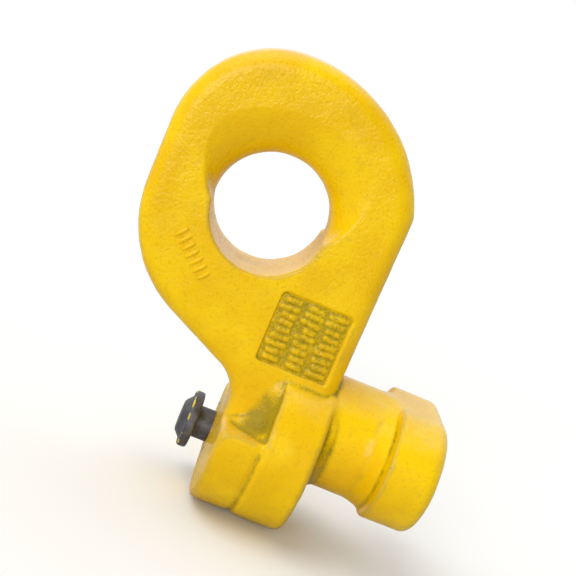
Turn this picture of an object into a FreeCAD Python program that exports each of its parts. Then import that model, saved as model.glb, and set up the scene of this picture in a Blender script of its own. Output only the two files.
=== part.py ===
import FreeCAD, Part
import math
import os
import Sketcher
from FreeCAD import Placement, Rotation, Vector

# Container lifting lug: a one-piece cast eye, plate, flange, neck and oblong head, and a
# sprung plunger in the boss behind the flange that locks it in a corner casting.
# Frame: +X along the neck towards the head, +Z up to the eye, +Y away from the marked side.
# The origin is on the neck's axis, in the plane of the flange's bearing face. Millimetres.

DIMENSIONS = [
    # the plate and its eye
    ("plate_thickness", 36.0, "eye plate, across Y"),
    ("plate_front", 1.0, "bearing face to the plate's front edge"),
    ("plate_foot", 10.0, "plate's lower end, below the neck axis"),
    ("eye_x", -53.5, "eye centre"),
    ("eye_z", 76.0, "eye centre"),
    ("eye_radius", 23.5, "eye bore"),
    ("crown_x", -59.0, "centre of the large arc over the eye"),
    ("crown_z", 76.7, "centre of the large arc over the eye"),
    ("crown_radius", 61.0, "large arc over the eye"),
    ("shoulder_z", 96.05, "centre height of the back shoulder arc"),
    ("shoulder_radius", 41.5, "back shoulder arc"),
    ("belly_z", 70.0, "centre height of the arc under the eye"),
    ("belly_radius", 49.6, "arc under the eye"),
    ("throat_z", -2.4, "centre height of the hollow above the boss"),
    ("throat_radius", 17.0, "hollow above the boss"),
    ("crest_round", 8.0, "corner where the crown meets the front edge"),
    ("edge_round", 7.0, "rounding all round the plate"),
    # the flared saddle above the eye, on both faces
    ("land_half", 4.0, "half the width of the eye's full bore"),
    ("flare_rise", 20.0, "how far the flare's middle climbs at the face"),
    ("flare_spread", 9.5, "how far the flare widens at the face, each side"),
    ("flare_flatten", 2.5, "how far the flare's top half-axis shrinks at the face"),
    ("flare_foot", 12.0, "lower half-axis of the flare, inside the bore"),
    ("flare_turn", 0.97, "how near the flare's lip comes to lying flat, 1 is flat"),
    ("flare_overrun", 0.8, "flare tool past the face"),
    # flange, boss, neck and head
    ("flange_radius", 34.6, "round flange"),
    ("flange_drop", 12.5, "flange and boss centre below the neck axis"),
    ("flange_thickness", 21.0, "bearing face to the step at the boss"),
    ("flange_round", 2.5, "flange rim rounding"),
    ("boss_radius", 34.0, "boss behind the flange"),
    ("boss_back", 39.8, "bearing face to the boss's rear face"),
    ("boss_top", 6.0, "boss's ledge below the neck axis"),
    ("boss_round", 2.2, "boss edge rounding"),
    ("neck_radius", 23.5, "neck, and half the height of the head"),
    ("neck_root_round", 3.0, "fillet at the neck's root"),
    ("head_front", 26.0, "bearing face to the head's inner face"),
    ("head_back", 47.4, "bearing face to the head's outer face"),
    ("head_offset", 14.0, "centre of each head end from the neck axis"),
    ("collar_start", 19.5, "where the neck begins to widen to the head"),
    ("collar_offset", 7.0, "how far it has widened at the head, each side"),
    ("collar_inset", 0.05, "collar under the surfaces of the neck and the head"),
    ("head_round", 5.0, "outer edge of the head"),
    # the panel sunk in the plate's marked side
    ("panel_x", -22.2, "panel centre"),
    ("panel_z", 36.2, "panel centre"),
    ("panel_side", 30.4, "square panel"),
    ("panel_round", 2.2, "panel corners"),
    ("panel_depth", 1.5, "panel floor below the plate"),
    # the plunger and its bore
    ("plunger_y", 20.0, "plunger axis"),
    ("plunger_z", -24.4, "plunger axis"),
    ("nose_radius", 6.5, "locking nose"),
    ("nose_reach", 13.0, "nose past the bearing face"),
    ("nose_chamfer", 1.5, "nose tip"),
    ("running_clearance", 0.06, "radial, nose and stem in their bores"),
    ("cavity_front", 6.0, "bearing face to the spring cavity"),
    ("cavity_radius", 9.3, "spring cavity"),
    ("lobe_radius", 12.6, "metal round the spring cavity"),
    ("stop_gap", 0.3, "plunger collar to the cavity's front wall"),
    ("collar_radius", 8.8, "plunger collar"),
    ("collar_length", 3.2, "plunger collar"),
    ("stem_radius", 7.0, "plunger stem"),
    ("stem_end", 46.8, "bearing face to the knob"),
    ("spigot_radius", 4.5, "plunger end inside the knob"),
    ("spigot_length", 5.6, "plunger end inside the knob"),
    # the parts on the plunger
    ("plug_radius", 10.5, "guide plug, over its thread"),
    ("plug_length", 8.0, "guide plug"),
    ("plug_gap", 0.05, "plug in its thread, washer against the plug"),
    ("spanner_radius", 1.2, "spanner holes in the plug"),
    ("spanner_offset", 8.8, "spanner holes from the plug's axis"),
    ("spanner_depth", 3.0, "spanner holes in the plug"),
    ("washer_thickness", 1.0, "spring washer"),
    ("washer_radius", 9.0, "spring washer"),
    ("washer_bore", 7.4, "spring washer"),
    ("spring_radius", 8.1, "spring, to the middle of the wire"),
    ("spring_wire", 0.7, "radius of the spring's wire"),
    ("spring_turns", 6.0, "spring turns"),
    ("knob_radius", 12.5, "pull knob"),
    ("knob_rim", 4.3, "pull knob rim, along X"),
    ("knob_cap", 2.9, "pull knob's tapered cap, along X"),
    ("cap_foot", 9.8, "radius of the cap at the rim"),
    ("cap_end", 6.6, "radius of the cap's flat end"),
    ("knob_round", 1.0, "rim edges of the knob"),
    ("roll_radius", 1.25, "roll pin in the knob"),
    ("roll_wall", 0.45, "roll pin's wall"),
    ("roll_slot", 0.6, "roll pin's slot"),
    ("roll_inner", 2.2, "roll pin's end past the knob's axis"),
    ("roll_outer", 12.0, "roll pin's other end, just under the rim"),
    ("screw_radius", 2.5, "set screw that locks the plug"),
    ("screw_length", 3.8, "set screw"),
    ("screw_socket", 1.25, "half the width of the set screw's hexagon"),
    ("socket_depth", 1.8, "set screw's hexagon"),
    ("screw_hole_length", 20.0, "set screw's hole, from inside the plug out through the boss"),
    # shared
    ("overrun", 1.0, "how far a pad runs into its neighbour, or a cut past its face"),
]

# how far along the flare's depth each of its sections lies, from the land to the face
FLARE_SHARES = (0, 0.35, 0.6, 0.8, 0.93, 1)
# how wide the flare's last section is, past the face, where 1 is its width at the face
FLARE_PAST = 1.15
# edges are picked by where they lie: on the spot, or in its neighbourhood
EXACT = 0.05
NEARBY = 1.0
# an ellipse's upright half-axis stays this much under its level one
HAIR = 0.001

SUB_PARTS = ("lug_body", "plunger", "pull_knob", "knob_roll_pin", "guide_plug", "spring_washer",
             "plunger_spring", "plug_set_screw")

doc = FreeCAD.newDocument("container_lifting_lug")
dims = doc.addObject("Spreadsheet::Sheet", "dims")
for row, (alias, value, meaning) in enumerate(DIMENSIONS, start=1):
    dims.set(f"A{row}", alias)
    dims.set(f"B{row}", str(value))
    dims.setAlias(f"B{row}", alias)
    dims.set(f"C{row}", meaning)
doc.recompute()


def size(expression):
    """The value of an expression in the sheet's words, such as 'eye_x + eye_radius'."""
    return float(dims.evalExpression(expression))


def bound(expression):
    """The same expression as another object must write it, with each word taken from dims."""
    words = sorted((row[0] for row in DIMENSIONS), key=len, reverse=True)
    for number, word in enumerate(words):
        expression = expression.replace(word, f"<{number}>")
    for number, word in enumerate(words):
        expression = expression.replace(f"<{number}>", f"dims.{word}")
    return expression


# ---------------------------------------------------------------- sketch helpers

def new_body(name):
    body = doc.addObject("PartDesign::Body", name)
    body.Label = name
    return body


def new_sketch(body, name, plane, offset="0"):
    """A sketch on one of the body's own planes, moved along the plane's normal."""
    sketch = body.newObject("Sketcher::SketchObject", name)
    support = next(p for p in body.Origin.OriginFeatures if p.Role == plane)
    sketch.AttachmentSupport = [(support, "")]
    sketch.MapMode = "FlatFace"
    sketch.AttachmentOffset = Placement(Vector(0, 0, size(offset)), Rotation())
    if offset != "0":
        sketch.setExpression("AttachmentOffset.Base.z", bound(offset))
    return sketch


def place_point(sketch, element, point, across, up):
    """Hold one point of the sketch at two distances from its origin."""
    for kind, expression in (("DistanceX", across), ("DistanceY", up)):
        constraint = Sketcher.Constraint(kind, -1, 1, element, point, size(expression))
        index = sketch.addConstraint(constraint)
        if expression != "0":
            sketch.setExpression(f"Constraints[{index}]", bound(expression))


def set_radius(sketch, element, expression):
    index = sketch.addConstraint(Sketcher.Constraint("Radius", element, size(expression)))
    sketch.setExpression(f"Constraints[{index}]", bound(expression))


def draw_circle(sketch, across, up, radius):
    centre = Vector(size(across), size(up), 0)
    index = sketch.addGeometry(Part.Circle(centre, Vector(0, 0, 1), size(radius)), False)
    place_point(sketch, index, 3, across, up)
    set_radius(sketch, index, radius)


def draw_polygon(sketch, corners):
    """Straight lines through corners given as pairs of expressions, closed."""
    points = [Vector(size(across), size(up), 0) for across, up in corners]
    count = len(points)
    for i in range(count):
        sketch.addGeometry(Part.LineSegment(points[i], points[(i + 1) % count]), False)
    for i in range(count):
        sketch.addConstraint(Sketcher.Constraint("Coincident", i, 2, (i + 1) % count, 1))
    for i, (across, up) in enumerate(corners):
        place_point(sketch, i, 1, across, up)


def draw_slot(sketch, offset, radius):
    """An oblong with round ends, long across the sketch and centred on its origin."""
    half, reach = size(offset), size(radius)
    quarter = math.pi / 2
    ends = ((half, -quarter, quarter), (-half, quarter, 3 * quarter))
    for centre, start, stop in ends:
        circle = Part.Circle(Vector(centre, 0, 0), Vector(0, 0, 1), reach)
        sketch.addGeometry(Part.ArcOfCircle(circle, start, stop), False)
    sketch.addGeometry(Part.LineSegment(Vector(half, reach, 0), Vector(-half, reach, 0)), False)
    sketch.addGeometry(Part.LineSegment(Vector(-half, -reach, 0), Vector(half, -reach, 0)), False)
    for first, first_end, second, second_end in ((0, 2, 2, 1), (2, 2, 1, 1), (1, 2, 3, 1), (3, 2, 0, 1)):
        sketch.addConstraint(Sketcher.Constraint("Tangent", first, first_end, second, second_end))
    place_point(sketch, 0, 3, offset, "0")
    place_point(sketch, 1, 3, f"-{offset}", "0")
    set_radius(sketch, 0, radius)


def extrude(body, kind, name, sketch, length, side="One side", reverse=False):
    """A Pad or a Pocket of a sketch, with its length bound to an expression."""
    feature = body.newObject(f"PartDesign::{kind}", name)
    feature.Profile = sketch
    feature.SideType = side
    feature.Reversed = reverse
    feature.Refine = False
    feature.Length = size(length)
    feature.setExpression("Length", bound(length))
    doc.recompute()
    return feature


def revolve(body, name, sketch):
    feature = body.newObject("PartDesign::Revolution", name)
    feature.Profile = sketch
    feature.ReferenceAxis = (sketch, ["H_Axis"])
    feature.Angle = 360
    doc.recompute()
    return feature


def round_edges(body, name, radius, wanted):
    """Round the edges of the body's last feature that wanted(edge) picks."""
    base = body.Tip
    picked = [f"Edge{i}" for i, edge in enumerate(base.Shape.Edges, start=1) if wanted(edge)]
    feature = body.newObject("PartDesign::Fillet", name)
    feature.Base = (base, picked)
    feature.Refine = False
    feature.Radius = size(radius)
    feature.setExpression("Radius", bound(radius))
    doc.recompute()
    return feature


def near(value, target, slack=EXACT):
    return abs(value - target) < slack


def lies_in_x(edge, position):
    box = edge.BoundBox
    return near(box.XMin, position) and near(box.XMax, position)


def turned(name, profile):
    """A body turned about its own X axis from (distance along X, radius) expressions."""
    body = new_body(name)
    sketch = new_sketch(body, f"{name}_profile", "XY_Plane")
    draw_polygon(sketch, profile)
    revolve(body, f"{name}_turned", sketch)
    return body


def put_on_plunger_axis(body):
    body.Placement = Placement(Vector(0, size("plunger_y"), size("plunger_z")), Rotation())
    body.setExpression("Placement.Base.y", bound("plunger_y"))
    body.setExpression("Placement.Base.z", bound("plunger_z"))


# ---------------------------------------------------------------- lug body

def crest_height():
    """Where the crown's arc meets the plate's front edge, before the corner is rounded."""
    across = size("crown_x + plate_front")
    return size("crown_z") + math.sqrt(size("crown_radius") ** 2 - across ** 2)


def draw_plate_outline(sketch):
    """Crown, shoulder, belly and throat arcs, each tangent to the next, down to the foot."""
    crown = Vector(size("crown_x"), size("crown_z"), 0)
    crown_r, shoulder_r = size("crown_radius"), size("shoulder_radius")
    belly_r, throat_r = size("belly_radius"), size("throat_radius")
    rise = size("shoulder_z") - crown.y
    shoulder = Vector(crown.x - math.sqrt((crown_r - shoulder_r) ** 2 - rise ** 2), size("shoulder_z"), 0)
    back = shoulder.x - shoulder_r
    belly = Vector(back + belly_r, size("belly_z"), 0)
    throat = Vector(-size("boss_back") - throat_r, size("throat_z"), 0)
    front = -size("plate_front")
    crest = Vector(front, crest_height(), 0)
    to_shoulder = (shoulder - crown).normalize()
    # the straight between belly and throat leaves both arcs along the same normal
    apart = throat - belly
    lean = math.acos((belly_r + throat_r) / apart.Length)
    heading = math.atan2(apart.y, apart.x) - lean
    normal = Vector(math.cos(heading), math.sin(heading), 0)
    foot = -size("plate_foot")
    boss = -size("boss_back")

    def angle(vector):
        return math.atan2(vector.y, vector.x)

    def arc(centre, radius, start, stop):
        circle = Part.Circle(centre, Vector(0, 0, 1), radius)
        sketch.addGeometry(Part.ArcOfCircle(circle, start, stop), False)

    def line(start, stop):
        sketch.addGeometry(Part.LineSegment(start, stop), False)

    line(Vector(front, foot, 0), crest)
    arc(crown, crown_r, angle(crest - crown), angle(to_shoulder))
    arc(shoulder, shoulder_r, angle(to_shoulder), math.pi)
    line(Vector(back, shoulder.y, 0), Vector(back, belly.y, 0))
    arc(belly, belly_r, -math.pi, heading)
    line(belly + normal * belly_r, throat - normal * throat_r)
    arc(throat, throat_r, 0, heading + math.pi)
    line(Vector(boss, throat.y, 0), Vector(boss, foot, 0))
    line(Vector(boss, foot, 0), Vector(front, foot, 0))

    for first, first_end, second, second_end in ((0, 2, 1, 1), (7, 2, 8, 1), (8, 2, 0, 1)):
        sketch.addConstraint(Sketcher.Constraint("Coincident", first, first_end, second, second_end))
    smooth = ((1, 2, 2, 1), (2, 2, 3, 1), (3, 2, 4, 1), (4, 2, 5, 1), (5, 2, 6, 2), (6, 1, 7, 1))
    for first, first_end, second, second_end in smooth:
        sketch.addConstraint(Sketcher.Constraint("Tangent", first, first_end, second, second_end))
    for vertical in (0, 3, 7):
        sketch.addConstraint(Sketcher.Constraint("Vertical", vertical))
    sketch.addConstraint(Sketcher.Constraint("Horizontal", 8))
    place_point(sketch, 0, 1, "-plate_front", "-plate_foot")
    place_point(sketch, 1, 3, "crown_x", "crown_z")
    for element, height in ((2, "shoulder_z"), (4, "belly_z"), (6, "throat_z")):
        constraint = Sketcher.Constraint("DistanceY", -1, 1, element, 3, size(height))
        index = sketch.addConstraint(constraint)
        sketch.setExpression(f"Constraints[{index}]", bound(height))
    index = sketch.addConstraint(Sketcher.Constraint("DistanceX", 7, 1, -1, 1, size("boss_back")))
    sketch.setExpression(f"Constraints[{index}]", bound("boss_back"))
    radii = ((1, "crown_radius"), (2, "shoulder_radius"), (4, "belly_radius"), (6, "throat_radius"))
    for element, radius in radii:
        set_radius(sketch, element, radius)


def build_eye_plate():
    """Eye plate with its rounded rim, the eye and the panel sunk in the marked side."""
    body = new_body("eye_plate")
    half = size("plate_thickness") / 2
    outline = new_sketch(body, "plate_outline", "XZ_Plane")
    draw_plate_outline(outline)
    extrude(body, "Pad", "plate", outline, "plate_thickness", "Symmetric")
    crest = crest_height()

    def at_crest(edge):
        box = edge.BoundBox
        return lies_in_x(edge, -size("plate_front")) and near(box.ZMin, crest) and near(box.ZMax, crest)

    round_edges(body, "crest", "crest_round", at_crest)

    def on_plate_rim(edge):
        box = edge.BoundBox
        on_face = near(box.YMin, box.YMax) and near(abs(box.YMin), half)
        return on_face and box.ZMax > size("overrun - plate_foot")

    round_edges(body, "plate_rim", "edge_round", on_plate_rim)
    eye = new_sketch(body, "eye_outline", "XZ_Plane")
    draw_circle(eye, "eye_x", "eye_z", "eye_radius")
    extrude(body, "Pocket", "eye", eye, "plate_thickness + 2 * overrun", "Symmetric")

    panel = new_sketch(body, "panel_outline", "XZ_Plane", "plate_thickness / 2")
    sides = ("panel_x - panel_side / 2", "panel_x + panel_side / 2")
    heights = ("panel_z - panel_side / 2", "panel_z + panel_side / 2")
    corners = ((sides[0], heights[0]), (sides[1], heights[0]), (sides[1], heights[1]), (sides[0], heights[1]))
    draw_polygon(panel, corners)
    extrude(body, "Pocket", "panel", panel, "panel_depth")
    floor = -half + size("panel_depth")

    def panel_corner(edge):
        box = edge.BoundBox
        return near(box.YLength, size("panel_depth")) and near(box.YMax, floor) and near(box.YMin, -half)

    round_edges(body, "panel_corners", "panel_round", panel_corner)
    return body


def draw_boss_outline(sketch):
    """The lower part of a disc, cut level at the ledge."""
    drop, radius, top = size("flange_drop"), size("boss_radius"), size("boss_top")
    reach = math.asin((drop - top) / radius)
    circle = Part.Circle(Vector(0, -drop, 0), Vector(0, 0, 1), radius)
    sketch.addGeometry(Part.ArcOfCircle(circle, math.pi - reach, 2 * math.pi + reach), False)
    half_ledge = radius * math.cos(reach)
    ledge = Part.LineSegment(Vector(half_ledge, -top, 0), Vector(-half_ledge, -top, 0))
    sketch.addGeometry(ledge, False)
    sketch.addConstraint(Sketcher.Constraint("Coincident", 0, 2, 1, 1))
    sketch.addConstraint(Sketcher.Constraint("Coincident", 1, 2, 0, 1))
    sketch.addConstraint(Sketcher.Constraint("Horizontal", 1))
    place_point(sketch, 0, 3, "0", "-flange_drop")
    set_radius(sketch, 0, "boss_radius")
    index = sketch.addConstraint(Sketcher.Constraint("DistanceY", 1, 1, -1, 1, top))
    sketch.setExpression(f"Constraints[{index}]", bound("boss_top"))


def build_mount_end():
    """Flange, boss, neck and oblong head, bored for the plunger."""
    body = new_body("mount_end")
    flange = new_sketch(body, "flange_outline", "YZ_Plane", "-flange_thickness")
    draw_circle(flange, "0", "-flange_drop", "flange_radius")
    extrude(body, "Pad", "flange", flange, "flange_thickness")
    boss = new_sketch(body, "boss_outline", "YZ_Plane", "-boss_back")
    draw_boss_outline(boss)
    extrude(body, "Pad", "boss", boss, "boss_back - flange_thickness + overrun")
    boss_back = -size("boss_back")
    low = -size("flange_drop + flange_radius")
    round_edges(body, "boss_edges", "boss_round", lambda edge: lies_in_x(edge, boss_back))
    round_edges(body, "flange_front", "flange_round", lambda edge: lies_in_x(edge, 0)
                and near(edge.BoundBox.ZMin, low, NEARBY))

    lobe = new_sketch(body, "lobe_outline", "YZ_Plane", "-boss_back")
    draw_circle(lobe, "plunger_y", "plunger_z", "lobe_radius")
    extrude(body, "Pad", "lobe", lobe, "boss_back - flange_thickness + overrun")

    neck = new_sketch(body, "neck_outline", "YZ_Plane")
    draw_circle(neck, "0", "0", "neck_radius")
    extrude(body, "Pad", "neck", neck, "head_front + overrun")
    across = 2 * size("neck_radius")
    round_edges(body, "neck_root", "neck_root_round", lambda edge: lies_in_x(edge, 0)
                and near(edge.BoundBox.YLength, across, NEARBY))

    narrow = new_sketch(body, "collar_narrow", "YZ_Plane", "collar_start")
    draw_circle(narrow, "0", "0", "neck_radius - collar_inset")
    wide = new_sketch(body, "collar_wide", "YZ_Plane", "head_front + overrun")
    draw_slot(wide, "collar_offset", "neck_radius - collar_inset")
    collar = body.newObject("PartDesign::AdditiveLoft", "collar")
    collar.Profile = narrow
    collar.Sections = [wide]
    collar.Refine = False
    doc.recompute()

    head = new_sketch(body, "head_outline", "YZ_Plane", "head_front")
    draw_slot(head, "head_offset", "neck_radius")
    extrude(body, "Pad", "head", head, "head_back - head_front")
    round_edges(body, "head_nose", "head_round", lambda edge: lies_in_x(edge, size("head_back")))

    nose_bore = new_sketch(body, "nose_bore_outline", "YZ_Plane", "overrun")
    draw_circle(nose_bore, "plunger_y", "plunger_z", "nose_radius + running_clearance")
    extrude(body, "Pocket", "nose_bore", nose_bore, "cavity_front + 2 * overrun")
    cavity = new_sketch(body, "cavity_outline", "YZ_Plane", "-cavity_front")
    draw_circle(cavity, "plunger_y", "plunger_z", "cavity_radius")
    extrude(body, "Pocket", "cavity", cavity, "boss_back - cavity_front + overrun")
    seat = new_sketch(body, "plug_seat_outline", "YZ_Plane", "plug_length - boss_back")
    draw_circle(seat, "plunger_y", "plunger_z", "plug_radius + plug_gap")
    extrude(body, "Pocket", "plug_seat", seat, "plug_length + overrun")
    screw = new_sketch(body, "screw_hole_outline", "XY_Plane", "plunger_z - plug_radius + overrun")
    draw_circle(screw, "plug_length / 2 - boss_back", "plunger_y", "screw_radius")
    extrude(body, "Pocket", "screw_hole", screw, "screw_hole_length")
    return body


def flare_section(name, depth, opened):
    """One oval of the flare tool, depth from the plate's middle. opened is 0 at the land, 1 at the face."""
    sketch = doc.addObject("Sketcher::SketchObject", name)
    upright = Rotation(Vector(1, 0, 0), 90)
    sketch.Placement = Placement(Vector(0, -depth, 0), upright)
    centre = Vector(size("eye_x"), size("eye_z") + size("flare_rise") * opened, 0)
    wide = size("eye_radius") + size("flare_spread") * opened
    above = size("eye_radius") - size("flare_flatten") * opened
    below = size("flare_foot") + size("flare_rise") * opened
    right = centre + Vector(wide, 0, 0)
    for half_axis, start, stop in ((above, 0, math.pi), (below, math.pi, 2 * math.pi)):
        flat = min(half_axis, wide - HAIR)
        oval = Part.Ellipse(right, centre + Vector(0, flat, 0), centre)
        sketch.addGeometry(Part.ArcOfEllipse(oval, start, stop), False)
    sketch.addConstraint(Sketcher.Constraint("Coincident", 0, 2, 1, 1))
    sketch.addConstraint(Sketcher.Constraint("Coincident", 1, 2, 0, 1))
    for element in (0, 1):
        sketch.addConstraint(Sketcher.Constraint("Block", element))
    return sketch


def build_flare(name, side):
    """The tool that opens the eye's upper half towards one face, as a rope or hook seat."""
    land, half = size("land_half"), size("plate_thickness") / 2
    turn = size("flare_turn")
    lip = 1 - math.sqrt(1 - turn ** 2)
    sections = []
    for share in FLARE_SHARES:
        opened = (1 - math.sqrt(1 - (turn * share) ** 2)) / lip
        depth = side * (land + (half - land) * share)
        sections.append(flare_section(f"{name}_{len(sections)}", depth, opened))
    past = side * (half + size("flare_overrun"))
    sections.append(flare_section(f"{name}_{len(sections)}", past, FLARE_PAST))
    flare = doc.addObject("Part::Loft", name)
    flare.Sections = sections
    flare.Solid = True
    doc.recompute()
    return flare


def combine(kind, name, base, tool):
    result = doc.addObject(f"Part::{kind}", name)
    result.Base = base
    result.Tool = tool
    result.Refine = False
    result.Label = name
    doc.recompute()
    return result


def build_lug_body():
    """The casting. Its flares are cut last, from both faces of the joined plate and mount."""
    blank = combine("Fuse", "lug_blank", build_eye_plate(), build_mount_end())
    one_side = combine("Cut", "lug_flared_once", blank, build_flare("front_flare", 1))
    combine("Cut", "lug_body", one_side, build_flare("rear_flare", -1))


# ---------------------------------------------------------------- plunger train

def build_plunger():
    """Locking nose, collar that the spring pushes on, stem and the spigot for the knob."""
    profile = [
        ("nose_reach", "0"),
        ("nose_reach", "nose_radius - nose_chamfer"),
        ("nose_reach - nose_chamfer", "nose_radius"),
        ("-cavity_front - stop_gap", "nose_radius"),
        ("-cavity_front - stop_gap", "collar_radius"),
        ("-cavity_front - stop_gap - collar_length", "collar_radius"),
        ("-cavity_front - stop_gap - collar_length", "stem_radius"),
        ("-stem_end", "stem_radius"),
        ("-stem_end", "spigot_radius"),
        ("-stem_end - spigot_length", "spigot_radius"),
        ("-stem_end - spigot_length", "0"),
    ]
    body = turned("plunger", profile)
    drill_for_roll_pin(body)
    put_on_plunger_axis(body)


def build_knob():
    """Round pull knob with a tapered cap, bored from its inner face for the spigot."""
    profile = [
        ("-stem_end", "spigot_radius"),
        ("-stem_end", "knob_radius"),
        ("-stem_end - knob_rim", "knob_radius"),
        ("-stem_end - knob_rim", "cap_foot"),
        ("-stem_end - knob_rim - knob_cap", "cap_end"),
        ("-stem_end - knob_rim - knob_cap", "0"),
        ("-stem_end - spigot_length", "0"),
        ("-stem_end - spigot_length", "spigot_radius"),
    ]
    body = turned("pull_knob", profile)
    rim = 2 * size("knob_radius")
    round_edges(body, "knob_rim_edges", "knob_round", lambda edge: near(edge.BoundBox.YLength, rim)
                and near(edge.BoundBox.XLength, 0))
    drill_for_roll_pin(body)
    put_on_plunger_axis(body)


def drill_for_roll_pin(body):
    """A radial hole from the far side of the rim to just past the axis."""
    hole = new_sketch(body, f"{body.Name}_pin_hole", "XZ_Plane", "roll_inner")
    draw_circle(hole, "-stem_end - knob_rim / 2", "0", "roll_radius")
    extrude(body, "Pocket", f"{body.Name}_pin_bore", hole, "roll_inner + knob_radius + 2 * overrun")


def build_roll_pin():
    """Slotted spring pin that holds the knob on the plunger."""
    body = new_body("knob_roll_pin")
    ring = new_sketch(body, "roll_outline", "XZ_Plane", "roll_inner")
    draw_circle(ring, "-stem_end - knob_rim / 2", "0", "roll_radius")
    draw_circle(ring, "-stem_end - knob_rim / 2", "0", "roll_radius - roll_wall")
    extrude(body, "Pad", "roll_tube", ring, "roll_inner + roll_outer", reverse=True)
    slot = new_sketch(body, "roll_slot_outline", "XZ_Plane", "roll_inner + overrun")
    middle = "-stem_end - knob_rim / 2"
    draw_polygon(slot, [
        (f"{middle} - roll_slot / 2", "0"),
        (f"{middle} + roll_slot / 2", "0"),
        (f"{middle} + roll_slot / 2", "roll_radius + overrun"),
        (f"{middle} - roll_slot / 2", "roll_radius + overrun"),
    ])
    extrude(body, "Pocket", "roll_slot_cut", slot, "roll_inner + roll_outer + 2 * overrun")
    put_on_plunger_axis(body)


def build_guide_plug():
    """Round plug screwed into the boss from behind: it guides the stem and holds the spring in."""
    front = "plug_length - boss_back"
    profile = [
        ("-boss_back", "stem_radius + running_clearance"),
        ("-boss_back", "plug_radius"),
        (front, "plug_radius"),
        (front, "stem_radius + running_clearance"),
    ]
    body = turned("guide_plug", profile)
    holes = new_sketch(body, "spanner_outline", "YZ_Plane", "spanner_depth - boss_back")
    draw_circle(holes, "0", "spanner_offset", "spanner_radius")
    draw_circle(holes, "0", "-spanner_offset", "spanner_radius")
    extrude(body, "Pocket", "spanner_holes", holes, "spanner_depth + overrun")
    put_on_plunger_axis(body)


def build_washer():
    """Plain washer between the guide plug and the spring."""
    back = "plug_length - boss_back + plug_gap"
    profile = [
        (back, "washer_bore"),
        (back, "washer_radius"),
        (f"{back} + washer_thickness", "washer_radius"),
        (f"{back} + washer_thickness", "washer_bore"),
    ]
    put_on_plunger_axis(turned("spring_washer", profile))


def build_spring():
    """Round wire wound from the washer to the plunger's collar."""
    wire = size("spring_wire")
    start = size("plug_length - boss_back + plug_gap + washer_thickness + plug_gap") + wire
    stop = size("-cavity_front - stop_gap - collar_length - plug_gap") - wire
    turns = size("spring_turns")
    helix = Part.makeLongHelix((stop - start) / turns, stop - start, size("spring_radius"))
    section = Part.Wire(Part.makeCircle(wire, Vector(size("spring_radius"), 0, 0), Vector(0, 1, 0)))
    coil = Part.Wire(helix).makePipeShell([section], True, True)
    coil.rotate(Vector(), Vector(0, 1, 0), 90)
    coil.translate(Vector(start, 0, 0))
    spring = doc.addObject("Part::Feature", "plunger_spring")
    spring.Label = "plunger_spring"
    spring.Shape = coil
    spring.Placement = Placement(Vector(0, size("plunger_y"), size("plunger_z")), Rotation()).multiply(
        spring.Placement)


def build_set_screw():
    """Headless screw under the boss that presses on the plug, with a hexagon socket."""
    body = new_body("plug_set_screw")
    shank = new_sketch(body, "shank_outline", "XY_Plane", "-plug_radius - plug_gap")
    draw_circle(shank, "plug_length / 2 - boss_back", "0", "screw_radius")
    extrude(body, "Pad", "shank", shank, "screw_length", reverse=True)
    socket = new_sketch(body, "socket_outline", "XY_Plane", "-plug_radius - plug_gap - screw_length")
    corner = "screw_socket / cos(30 deg)"
    corners = []
    for i in range(6):
        turn = f"{60 * i} deg"
        corners.append((f"plug_length / 2 - boss_back + {corner} * cos({turn})", f"{corner} * sin({turn})"))
    draw_polygon(socket, corners)
    extrude(body, "Pocket", "socket", socket, "socket_depth", reverse=True)
    put_on_plunger_axis(body)


build_lug_body()
build_plunger()
build_knob()
build_roll_pin()
build_guide_plug()
build_washer()
build_spring()
build_set_screw()
doc.recompute()

# ---------------------------------------------------------------- check and write

os.makedirs("parts", exist_ok=True)
for item in doc.Objects:
    if "Invalid" in item.State or "Error" in item.State:
        raise RuntimeError(f"{item.Name} failed: {item.State}")
sub_parts = [doc.getObject(name) for name in SUB_PARTS]
for item in sub_parts:
    if item.Shape.isNull() or not item.Shape.isValid():
        raise RuntimeError(f"{item.Label} has no valid shape")
for item in sub_parts:
    item.Shape.exportStep(f"parts/{item.Label}.step")
    box = item.Shape.BoundBox
    print(f"{item.Label}: {len(item.Shape.Solids)} solid, {item.Shape.Volume / 1000:.2f} cm3, "
          f"X {box.XMin:.1f} to {box.XMax:.1f}, Y {box.YMin:.1f} to {box.YMax:.1f}, "
          f"Z {box.ZMin:.1f} to {box.ZMax:.1f}")
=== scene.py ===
# %% [markdown]
# # Container lifting lug
# This lesson dresses a yellow painted lifting lug. The lug hooks into the side hole of a shipping
# container's corner casting, and a sprung plunger beside its neck locks it there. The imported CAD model
# is the frame: it gives every size and place, and the looks are built around it.

# %% Load the frame
import math

import bmesh
import bpy
import numpy as np
from mathutils import Matrix, Vector
from mathutils.bvhtree import BVHTree


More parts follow.
